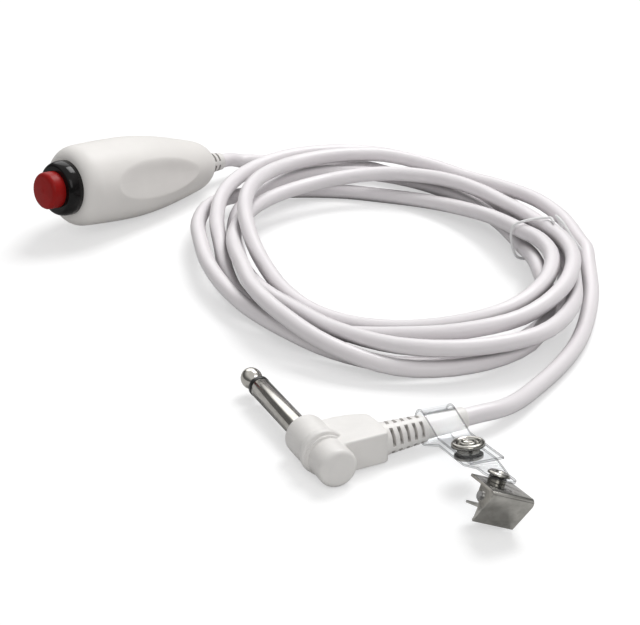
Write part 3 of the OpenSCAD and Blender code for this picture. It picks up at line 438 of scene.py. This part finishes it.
def sweep_group(name):
    """Geometry Nodes: a round tube along a line, with closed ends and its own finish."""
    group = bpy.data.node_groups.new(name, "GeometryNodeTree")
    face = group.interface
    face.new_socket("Line", in_out="INPUT", socket_type="NodeSocketGeometry")
    radius = face.new_socket("Radius", in_out="INPUT", socket_type="NodeSocketFloat")
    sides = face.new_socket("Sides", in_out="INPUT", socket_type="NodeSocketInt")
    finish = face.new_socket("Finish", in_out="INPUT", socket_type="NodeSocketMaterial")
    face.new_socket("Tube", in_out="OUTPUT", socket_type="NodeSocketGeometry")
    nodes, links = group.nodes, group.links
    start = nodes.new("NodeGroupInput")
    end = nodes.new("NodeGroupOutput")
    ring = nodes.new("GeometryNodeCurvePrimitiveCircle")
    sweep = nodes.new("GeometryNodeCurveToMesh")
    smooth = nodes.new("GeometryNodeSetShadeSmooth")
    realize = nodes.new("GeometryNodeRealizeInstances")
    paint = nodes.new("GeometryNodeSetMaterial")
    sweep.inputs["Fill Caps"].default_value = True
    links.new(start.outputs["Radius"], ring.inputs["Radius"])
    links.new(start.outputs["Sides"], ring.inputs["Resolution"])
    links.new(start.outputs["Line"], sweep.inputs["Curve"])
    links.new(ring.outputs["Curve"], sweep.inputs["Profile Curve"])
    links.new(sweep.outputs["Mesh"], smooth.inputs["Geometry"])
    links.new(smooth.outputs["Geometry"], realize.inputs["Geometry"])
    links.new(realize.outputs["Geometry"], paint.inputs["Geometry"])
    links.new(start.outputs["Finish"], paint.inputs["Material"])
    links.new(paint.outputs["Geometry"], end.inputs["Tube"])
    return group, radius.identifier, sides.identifier, finish.identifier


SWEEP, SWEEP_RADIUS, SWEEP_SIDES, SWEEP_FINISH = sweep_group("tube along a line")


def tube(name, path, radius, sides, finish):
    """Piece made by the sweep along a path, as a plain mesh."""
    line = bpy.data.curves.new(name + "_line", "CURVE")
    line.dimensions = "3D"
    line.twist_mode = "MINIMUM"
    spline = line.splines.new("POLY")
    spline.points.add(len(path) - 1)
    for point, place in zip(spline.points, path):
        point.co = (*place, 1)
    carrier = bpy.data.objects.new(name + "_line", line)
    bpy.context.scene.collection.objects.link(carrier)
    modifier = carrier.modifiers.new("sweep", "NODES")
    modifier.node_group = SWEEP
    modifier[SWEEP_RADIUS] = radius
    modifier[SWEEP_SIDES] = sides
    modifier[SWEEP_FINISH] = finish
    graph = bpy.context.evaluated_depsgraph_get()
    mesh = bpy.data.meshes.new_from_object(carrier.evaluated_get(graph))
    carrier.modifiers.remove(modifier)
    bpy.data.objects.remove(carrier)
    mesh.name = name
    return mesh_piece(name, mesh)


BOX_SIDE = 94.6
BOX_GIVE = 0.65


def held_in(point):
    """Eases the outermost bend in, so that the smooth cord stays inside the CAD's box."""
    if point.x > BOX_SIDE:
        point.x = BOX_SIDE + BOX_GIVE * math.tanh((point.x - BOX_SIDE) / BOX_GIVE)
    return point


CORD_STEPS, CORD_SIDES = 4, 24
cord_route = smooth_path((*LEAD_POINTS, *coil_points(), *TAIL_POINTS), CORD_STEPS)
cord_path = [held_in(p) * MM for p in cord_route]
cord = dress(
    tube("cord", cord_path, CORD_DIAMETER / 2, CORD_SIDES, FINISHES["cord_vinyl"]),
    "cord_coil", "cord_lead", "cord_tail",
)

# Twist tie round the coil, by reach from the coil's middle, height and shift along the cord
TIE_ANGLE = math.radians(-48)
TIE_TABLE = (
    (54.5, 18.7, 5.5), (54.2, 18.5, 3), (53.8, 18.4, 1.2), (52, 18.3, 0.9), (49, 17.9, 0.8),
    (45.5, 17, 0.7), (41.8, 15.4, 0.6), (40.9, 12.6, 0.5), (41.2, 9.3, 0.4), (41.9, 6.2, 0.3),
    (43.4, 3.4, 0.2), (47, 2.6, 0.1), (52, 1.4, 0), (57.6, 0.6, -0.1), (60.2, 0.9, -0.2),
    (61.7, 2.7, -0.3), (61.8, 4.8, -0.3), (61.2, 6.3, -0.3), (59.6, 7.9, -0.4), (58.6, 10.5, -0.4),
    (57.8, 13.5, -0.5), (56.6, 16.8, -0.5), (55.6, 18.3, -0.4), (55.7, 18.7, 0.8), (56.2, 18.9, 2.2),
    (58, 17.5, 4.5), (61, 13.5, 7), (63.7, 10.4, 8.6),
)
TIE_STEPS, TIE_SIDES = 3, 10
TIE_RADIUS = 0.45 * MM


def tie_points():
    out = Vector((math.cos(TIE_ANGLE), math.sin(TIE_ANGLE), 0))
    along = Vector((math.sin(TIE_ANGLE), -math.cos(TIE_ANGLE), 0))
    return [
        Vector((*COIL_MIDDLE, height)) + reach * out + shift * along
        for reach, height, shift in TIE_TABLE
    ]


tie_path = [p * MM for p in smooth_path(tie_points(), TIE_STEPS)]
dress(tube("twist_tie_wire", tie_path, TIE_RADIUS, TIE_SIDES, FINISHES["tie_white"]), "twist_tie")


# Rigid pieces, as merged copies of the CAD solids or skins over rings
MERGE_DISTANCE = 1e-6
CRISP_ANGLE = math.radians(35)
SKIN_ANGLE = math.radians(40)


def merged_mesh(node):
    mesh = frame["nodes"][node].data.copy()
    work = bmesh.new()
    work.from_mesh(mesh)
    bmesh.ops.remove_doubles(work, verts=work.verts, dist=MERGE_DISTANCE)
    work.to_mesh(mesh)
    work.free()
    return mesh


def settled(piece):
    """Turns the piece's modifiers into its mesh."""
    graph = bpy.context.evaluated_depsgraph_get()
    mesh = bpy.data.meshes.new_from_object(piece.evaluated_get(graph))
    piece.modifiers.clear()
    piece.data = mesh
    return piece


def crisp(name, node, bevel=0, segments=2):
    """Pressed or turned piece: broad faces shaded smooth, and sharp edges rounded if asked."""
    piece = mesh_piece(name, merged_mesh(node))
    for polygon in piece.data.polygons:
        polygon.use_smooth = True
    if bevel:
        edge = piece.modifiers.new("edge", "BEVEL")
        edge.limit_method = "ANGLE"
        edge.angle_limit = CRISP_ANGLE
        edge.width = bevel
        edge.segments = segments
        edge.harden_normals = False
    piece = settled(piece)
    piece.data.set_sharp_from_angle(angle=CRISP_ANGLE)
    return dress(piece, node)


def ringed_mesh(name, rings, looped=False):
    """Skin over closed rings of points; the two ends are closed, or joined to each other."""
    count, sides = len(rings), len(rings[0])
    faces = []
    for k in range(count if looped else count - 1):
        start, after = k * sides, (k + 1) % count * sides
        for i in range(sides):
            j = (i + 1) % sides
            faces.append((start + i, start + j, after + j, after + i))
    if not looped:
        faces += [tuple(range(sides))[::-1], tuple(range((count - 1) * sides, count * sides))]
    mesh = bpy.data.meshes.new(name)
    mesh.from_pydata([point for ring in rings for point in ring], [], faces)
    work = bmesh.new()
    work.from_mesh(mesh)
    bmesh.ops.recalc_face_normals(work, faces=work.faces)
    work.to_mesh(mesh)
    work.free()
    for polygon in mesh.polygons:
        polygon.use_smooth = True
    mesh.set_sharp_from_angle(angle=SKIN_ANGLE)
    return mesh


def skin(name, rings, node, *others, looped=False):
    """Skin over rings as a piece that stands for CAD nodes."""
    return dress(mesh_piece(name, ringed_mesh(name, rings, looped)), node, *others)


def around(place, x, radius, degrees):
    """Point of a ring round the X axis of a placed body."""
    turn = math.radians(degrees)
    return place @ (Vector((x, radius * math.cos(turn), radius * math.sin(turn))) * MM)


def spread(marks, step):
    """Stations through the marks, no further apart than the step."""
    stations = [marks[0]]
    for a, b in zip(marks, marks[1:]):
        parts = max(1, math.ceil((b - a) / step - 1e-9))
        stations += [a + (b - a) * k / parts for k in range(1, parts + 1)]
    return stations


# Handset shell in millimetres, both halves as one moulding, with the dish as in the photograph
HANDSET_PLACE = Vector((-30.3558, 0, 19.0565))
HANDSET_PITCH = math.radians(8.65381)
HANDSET_ROLL = math.radians(22)
HANDSET = (
    Matrix.Translation(HANDSET_PLACE * MM)
    @ Matrix.Rotation(HANDSET_PITCH, 4, "Y")
    @ Matrix.Rotation(HANDSET_ROLL, 4, "X")
)
SHELL_SIDES = 256
SHELL_LENGTH = 64.6
SHELL_EASE = 0.05
BELLY_AT, BELLY_RADIUS = 23, 14.7
BUTTON_END_DROP, TAIL_DROP = 0.8, 6.9
TAIL_TURN = math.radians(111.6)
NOSE_LENGTH, NOSE_FLAT, NOSE_CURVE = 5.5, 10, 2.2
TAIL_ROUND, TAIL_PINCH, TAIL_CURVE = 8, 0.55, 2.5
DISH_AT, DISH_HALF = 32.0, 20.0
DISH_ANGLE, DISH_SPREAD = 145.0, 29.0
DISH_DEPTH = 2.0
DISH_CURVE, DISH_BLUNT_CURVE, DISH_SOFTNESS = 2.1, 2.6, 0.7
MIDDLE_END, TAIL_BEGIN = 56.6, 56.8
NOSE_STEP, MIDDLE_STEP, TAIL_STEP = 0.25, 0.33, 0.3

# Bore from the tail back to the button's end, as radius and station pairs
SHELL_INSIDE = [
    (3.95, SHELL_LENGTH), (3.95, 59.2), (5.05, 59.2), (5.05, 57.55), (4, 57.55), (4, 27.3), (11.3, 20),
    (11.3, 2.4), (7.98, 2.4), (7.98, 0),
]


def shell_radius(u):
    """Radius at u from the button's end: a belly, a rounded nose there and a rounded tail."""
    if u < BELLY_AT:
        belly = BELLY_RADIUS - BUTTON_END_DROP * ((BELLY_AT - u) / BELLY_AT) ** 2
    else:
        turned = TAIL_TURN * (u - BELLY_AT) / (SHELL_LENGTH - BELLY_AT)
        belly = BELLY_RADIUS - TAIL_DROP * (1 - math.cos(turned)) / (1 - math.cos(TAIL_TURN))
    nose = math.sqrt(max(0, 1 - max(0, 1 - u / NOSE_LENGTH) ** NOSE_CURVE))
    past = max(0, (u - SHELL_LENGTH + TAIL_ROUND) / TAIL_ROUND)
    tail = math.sqrt(1 - TAIL_PINCH * past ** TAIL_CURVE)
    return ((belly - NOSE_FLAT) * nose + NOSE_FLAT) * tail - SHELL_EASE


def dish_depth(u, angle):
    """Scoop with a blunt end to the button, a crisp lower rim and a softer upper one."""
    across = (angle - DISH_ANGLE) / DISH_SPREAD
    along = (u - DISH_AT) / DISH_HALF
    curve = DISH_BLUNT_CURVE if along < 0 else DISH_CURVE
    inside = 1 - (abs(along) ** curve + abs(across) ** DISH_CURVE)
    if inside <= 0:
        return 0
    return DISH_DEPTH * inside ** (1.0 if across > 0 else 1.0 - DISH_SOFTNESS * across)


def shell_rings():
    """The outside from the button's end to the tail, then the inside back again."""
    angles = [360 * k / SHELL_SIDES for k in range(SHELL_SIDES)]
    stations = spread([0, 0.15, 0.5, 1, 2, NOSE_LENGTH], NOSE_STEP)[:-1]
    stations += spread([NOSE_LENGTH, MIDDLE_END], MIDDLE_STEP)
    stations += spread([TAIL_BEGIN, SHELL_LENGTH], TAIL_STEP)
    rows = [[(u, shell_radius(u) - dish_depth(u, a), a) for a in angles] for u in stations]
    rows += [[(u, r, a) for a in angles] for r, u in SHELL_INSIDE]
    return [[around(HANDSET, u, r, a) for u, r, a in row] for row in rows]


skin("handset_shell", shell_rings(), "shell_near", "shell_far", looped=True)
crisp("bezel", "switch_bezel")
crisp("red_cap", "button_cap")

# The return spring, as a crisp copy with a mesh of its own
coil = crisp("spring_coil", "return_spring")
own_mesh(coil)

# Plug in millimetres, with the jack along +Y and the boot along +X in its own frame
PLUG_PLACE = Vector((-78.4, -173.6, 5.8))
PLUG_TURN = math.radians(-19)
PLUG = Matrix.Translation(PLUG_PLACE * MM) @ Matrix.Rotation(PLUG_TURN, 4, "Z")
TURNED_SIDES = 96
ROUND_STEPS = 8


def turned_rings(outline, centre=(0, 0)):
    """Rings round the jack's direction, from an outline of radius and station pairs."""
    turns = [2 * math.pi * k / TURNED_SIDES for k in range(TURNED_SIDES)]
    rings = []
    for r, y in outline:
        places = [(centre[0] + r * math.cos(t), y, centre[1] + r * math.sin(t)) for t in turns]
        rings.append([PLUG @ (Vector(place) * MM) for place in places])
    return rings


def rounded_end(r, y, round_off, way):
    """Quarter round from the end face to the side, for an end that looks along way."""
    turns = [math.pi / 2 * k / ROUND_STEPS for k in range(ROUND_STEPS + 1)]
    return [
        (r - round_off + round_off * math.sin(t), y - way * round_off * (1 - math.cos(t)))
        for t in turns
    ]


# Outlines round the jack's direction as radius and station pairs, and the block's seen from above
BARREL = [*rounded_end(6.0, 12.2, 0.9, 1), (6.05, 1.6), (6.05, -1.5)]
LIP = [(5.0, 2.3), (6.1, 1.7), (6.5, 1.1), (6.6, 0.5), (6.6, -0.4), (6.35, -0.8), (5.0, -0.85)]
END_CAP = [(5.0, 0), (5.3, -0.6), (5.3, -1.5), (5.6, -1.7), *rounded_end(5.7, -9.4, 1.5, -1)[::-1]]
BARREL_MIDDLE, LIP_MIDDLE, END_CAP_MIDDLE = (0, 0.3), (-0.1, 0.87), (0.4, 0)
BLOCK = [
    (-3, -4.9), (17.0, -4.9), (17.9, -4.1), (18.1, -1.1), (17.8, 3.4), (17.2, 6.9), (16.2, 7.8),
    (11.9, 9.2), (8, 9.9), (0, 9.9), (-3, 9.2),
]
BLOCK_TOP = 4.8
BLOCK_ROUND = 0.9
PLUG_VOXEL = 0.17 * MM
PLUG_RELAX_ROUNDS = 4


def block_mesh():
    """The squarish block between the jack and the boot, with rounded edges."""
    mesh = bpy.data.meshes.new("plug_block")
    count = len(BLOCK)
    points = [PLUG @ (Vector((x, y, z)) * MM) for z in (-BLOCK_TOP, BLOCK_TOP) for x, y in BLOCK]
    faces = [tuple(range(count))[::-1], tuple(range(count, 2 * count))]
    faces += [(k, (k + 1) % count, count + (k + 1) % count, count + k) for k in range(count)]
    mesh.from_pydata(points, [], faces)
    work = bmesh.new()
    work.from_mesh(mesh)
    bmesh.ops.bevel(work, geom=work.edges[:], offset=BLOCK_ROUND * MM, segments=3, profile=0.5,
                    affect="EDGES", clamp_overlap=True)
    work.to_mesh(mesh)
    work.free()
    return mesh


def joined(name, meshes):
    work = bmesh.new()
    for mesh in meshes:
        work.from_mesh(mesh)
    mesh = bpy.data.meshes.new(name)
    work.to_mesh(mesh)
    work.free()
    return mesh


def melted(name, meshes, node, *others):
    """One soft moulding from overlapping solids: remeshed finely, with relaxed edges."""
    piece = mesh_piece(name, joined(name, meshes))
    remesh = piece.modifiers.new("remesh", "REMESH")
    remesh.mode = "VOXEL"
    remesh.voxel_size = PLUG_VOXEL
    remesh.use_smooth_shade = True
    relax = piece.modifiers.new("relax", "SMOOTH")
    relax.factor = 0.5
    relax.iterations = PLUG_RELAX_ROUNDS
    return dress(settled(piece), node, *others)


melted("plug_body", [
    ringed_mesh("barrel", turned_rings(BARREL, BARREL_MIDDLE)),
    ringed_mesh("lip", turned_rings(LIP, LIP_MIDDLE)),
    ringed_mesh("end_cap", turned_rings(END_CAP, END_CAP_MIDDLE)),
    block_mesh(),
], "plug_housing", "plug_collar")

# Boot on the plug, along X in the plug's frame
BOOT_FROM, BOOT_NOSE, BOOT_CHAMFER = 17, 30.6, 43.7
BOOT_RADIUS, BOOT_NARROWING, BOOT_TAPER_LENGTH = 4.75, 0.8, 13.6
BOOT_NOSE_RADIUS, BOOT_STEP_HEIGHT, BOOT_STEP_LENGTH = 3.25, 0.7, 0.5
BOOT_CHAMFER_SLOPE = 0.8
BOOT_MARKS = [16.0, BOOT_FROM, BOOT_NOSE, 31.1, 43.6, 44.0]
BOOT_SLOT_PITCH, BOOT_FIRST_SLOT = 2.345, 1.1
BOOT_SLOTS = [BOOT_FROM + (k + BOOT_FIRST_SLOT) * BOOT_SLOT_PITCH for k in range(5)]

# Relief on the handset, along X in the handset's frame
RELIEF_FROM, RELIEF_CHAMFER = 64.6, 71.6
RELIEF_RADIUS, RELIEF_NARROWING, RELIEF_TAPER_LENGTH = 3.9, 0.8, 7.5
RELIEF_CHAMFER_SLOPE = 1.2
RELIEF_MARKS = [60.0, RELIEF_FROM, RELIEF_CHAMFER, 72.1]
RELIEF_SLOTS = [66.7, 68.8]

# Slots of both: the width of a slot's flank, the spacing of rings and the turn between points
SLOT_EDGE = 0.04
RELIEF_RING_STEP, RELIEF_TURN_STEP = 0.4, 3


def boot_outer(x):
    """Radius of the plug's boot: a taper, a step down to the plain nose and a chamfer."""
    if x <= BOOT_NOSE:
        return BOOT_RADIUS - BOOT_NARROWING * (x - BOOT_FROM) / BOOT_TAPER_LENGTH
    step = BOOT_STEP_HEIGHT * max(0, 1 - (x - BOOT_NOSE) / BOOT_STEP_LENGTH)
    return BOOT_NOSE_RADIUS + step - BOOT_CHAMFER_SLOPE * max(0, x - BOOT_CHAMFER)


def relief_outer(x):
    """Radius of the handset's relief: a taper and a chamfer."""
    taper = RELIEF_NARROWING * max(0, x - RELIEF_FROM) / RELIEF_TAPER_LENGTH
    return RELIEF_RADIUS - taper - RELIEF_CHAMFER_SLOPE * max(0, x - RELIEF_CHAMFER)


def slotted_rings(place, outer, marks, slots, width, slot_floor, first_row, window):
    """Rings of a sleeve with slots in four rows, each a window of degrees to either side."""
    for station in slots:
        low, high = station - width / 2, station + width / 2
        marks = marks + [low, low + SLOT_EDGE, high - SLOT_EDGE, high]
    rows = [first_row + 90 * k for k in range(4)]
    angles = []
    for row in rows:
        left, right = row - window, row + window
        turns = [row - 45, left, left + 1, right - 1, right, row + 45]
        angles += spread(turns, RELIEF_TURN_STEP)[:-1]
    rings = []
    for x in spread(sorted(marks), RELIEF_RING_STEP):
        in_slot = any(abs(x - station) < width / 2 - SLOT_EDGE / 2 for station in slots)
        ring = []
        for angle in angles:
            off = min(abs((angle - row + 180) % 360 - 180) for row in rows)
            radius = slot_floor if in_slot and off < window - 0.5 else outer(x)
            ring.append(around(place, x, radius, angle))
        rings.append(ring)
    return rings


skin("plug_relief", slotted_rings(
    PLUG, boot_outer, BOOT_MARKS, BOOT_SLOTS,
    width=1.05, slot_floor=2.6, first_row=150.5, window=35,
), "plug_boot")
skin("handset_relief", slotted_rings(
    HANDSET, relief_outer, RELIEF_MARKS, RELIEF_SLOTS,
    width=0.95, slot_floor=2.65, first_row=102, window=33,
), "handset_boot")

# Jack, as radius and station pairs
SLEEVE = [(3.0, 9.5), (3.175, 9.7), (3.175, 41.2), (3.0, 41.5), (2.4, 41.5)]
RING = [(2.4, 41.45), (3.2, 41.45), (3.25, 41.7), (3.25, 42.6), (3.15, 42.85), (2.2, 42.85)]
TIP = [
    (2.3, 42.8), (2.3, 43.2), (2.05, 43.7), (1.95, 44.2), (2.0, 44.8), (2.25, 45.3), (2.65, 45.8),
    (2.95, 46.4), (3.12, 47.1), (3.17, 47.8), (3.1, 48.5), (2.9, 49.2), (2.5, 49.9), (1.9, 50.5),
    (1.2, 50.85), (0.5, 51.0),
]
skin("jack_barrel", turned_rings(SLEEVE), "jack_sleeve")
skin("jack_ring", turned_rings(RING), "jack_insulator")
skin("jack_ball", turned_rings(TIP), "jack_tip")

# Snap and clip
JAW_ROUND, REAR_JAW_ROUND = 0.3 * MM, 0.12 * MM
crisp("snap_head", "snap_cap")
crisp("rivet", "clip_rivet")
crisp("front_jaw", "clip_front_jaw", JAW_ROUND, segments=4)
crisp("rear_jaw_plate", "clip_rear_jaw", REAR_JAW_ROUND)


# Studio, with floor and sky white to the camera and soft light on the object
FLOOR_HALF = 4
FLOOR_COLOUR = (0.6, 0.6, 0.6)
FLOOR_GLOW = 0.5
SKY_LEVEL = 0.42
SHINE_AT_HORIZON, SHINE_ABOVE = 0.15, 0.8
SHINE_BAND = (0.35, 0.75)
WINDOW_DIRECTION = (0.461, 0.688, 0.56)
WINDOW_BAND = (0.90, 0.95)
WINDOW_SHINE = 1.6
LAMP_SIZE = 0.6
LAMP_TARGET = Vector((0, -0.1, 0))
MAIN_LAMP_PLACE, MAIN_LAMP_POWER = Vector((0.62, 0.02, 1.05)), 8.9
SIDE_LAMP_PLACE, SIDE_LAMP_POWER = Vector((-0.5, -0.9, 0.7)), 2.2


def seen_by_camera(tree):
    """One for what the camera sees, straight or through vinyl, zero for light on the pieces."""
    rays = tree.nodes.new("ShaderNodeLightPath").outputs
    passed, depth = rays["Is Transmission Ray"], rays["Diffuse Depth"]
    direct = combined(tree, "SUBTRACT", passed, depth, clamp=True)
    return combined(tree, "MAXIMUM", rays["Is Camera Ray"], direct)


def floor_material():
    """Pale matt floor, white to the camera and through clear vinyl, with soft shadows."""
    material, tree, output = new_material("pale_floor")
    shader = tree.nodes.new("ShaderNodeBsdfPrincipled")
    shader.inputs["Base Color"].default_value = (*FLOOR_COLOUR, 1)
    shader.inputs["Roughness"].default_value = 0.9
    shader.inputs["Specular IOR Level"].default_value = 0.05
    shader.inputs["Emission Color"].default_value = (1, 1, 1, 1)
    glow = ranged(tree, seen_by_camera(tree), 0, 1, 0, FLOOR_GLOW)
    tree.links.new(glow, shader.inputs["Emission Strength"])
    tree.links.new(shader.outputs["BSDF"], output.inputs["Surface"])
    return material


def make_floor():
    corners = [(x * FLOOR_HALF, y * FLOOR_HALF, 0) for x, y in ((-1, -1), (1, -1), (1, 1), (-1, 1))]
    mesh = bpy.data.meshes.new("floor")
    mesh.from_pydata(corners, [], [(0, 1, 2, 3)])
    plane = mesh_piece("floor", mesh)
    plane.data.materials.append(floor_material())


def sky_shine(tree):
    """What polished surfaces mirror: darker towards the horizon, with a bright window."""
    place = tree.nodes.new("ShaderNodeTexCoord")
    split = tree.nodes.new("ShaderNodeSeparateXYZ")
    tree.links.new(place.outputs["Generated"], split.inputs["Vector"])
    shine = ranged(tree, split.outputs["Z"], *SHINE_BAND, SHINE_AT_HORIZON, SHINE_ABOVE)
    facing = dot_product(tree)
    tree.links.new(place.outputs["Generated"], facing.inputs[0])
    facing.inputs[1].default_value = WINDOW_DIRECTION
    window = ranged(tree, facing.outputs["Value"], *WINDOW_BAND, 0, WINDOW_SHINE)
    return combined(tree, "ADD", shine, window)


def make_world():
    """Soft white light, seen white by the camera and as sky_shine in polished surfaces."""
    world = bpy.data.worlds.new("soft_studio")
    world.use_nodes = True
    tree = world.node_tree
    tree.nodes.clear()
    output = tree.nodes.new("ShaderNodeOutputWorld")
    rays = tree.nodes.new("ShaderNodeLightPath")
    light = tree.nodes.new("ShaderNodeMix")
    tree.links.new(rays.outputs["Is Glossy Ray"], light.inputs[MIX_FACTOR])
    light.inputs[VALUE_FIRST].default_value = SKY_LEVEL
    tree.links.new(sky_shine(tree), light.inputs[VALUE_SECOND])
    shown = tree.nodes.new("ShaderNodeMix")
    tree.links.new(seen_by_camera(tree), shown.inputs[MIX_FACTOR])
    tree.links.new(light.outputs[VALUE_RESULT], shown.inputs[VALUE_FIRST])
    shown.inputs[VALUE_SECOND].default_value = 1
    background = tree.nodes.new("ShaderNodeBackground")
    background.inputs["Color"].default_value = (1, 1, 1, 1)
    tree.links.new(shown.outputs[VALUE_RESULT], background.inputs["Strength"])
    tree.links.new(background.outputs["Background"], output.inputs["Surface"])
    bpy.context.scene.world = world


def soft_lamp(name, place, power):
    data = bpy.data.lights.new(name, "AREA")
    data.shape = "SQUARE"
    data.size = LAMP_SIZE
    data.energy = power
    lamp = bpy.data.objects.new(name, data)
    lamp.location = place
    lamp.rotation_mode = "QUATERNION"
    lamp.rotation_quaternion = (LAMP_TARGET - place).to_track_quat("-Z", "Y")
    bpy.context.scene.collection.objects.link(lamp)


make_floor()
make_world()
soft_lamp("main_lamp", MAIN_LAMP_PLACE, MAIN_LAMP_POWER)
soft_lamp("side_lamp", SIDE_LAMP_PLACE, SIDE_LAMP_POWER)
bpy.context.scene.view_settings.view_transform = "Standard"
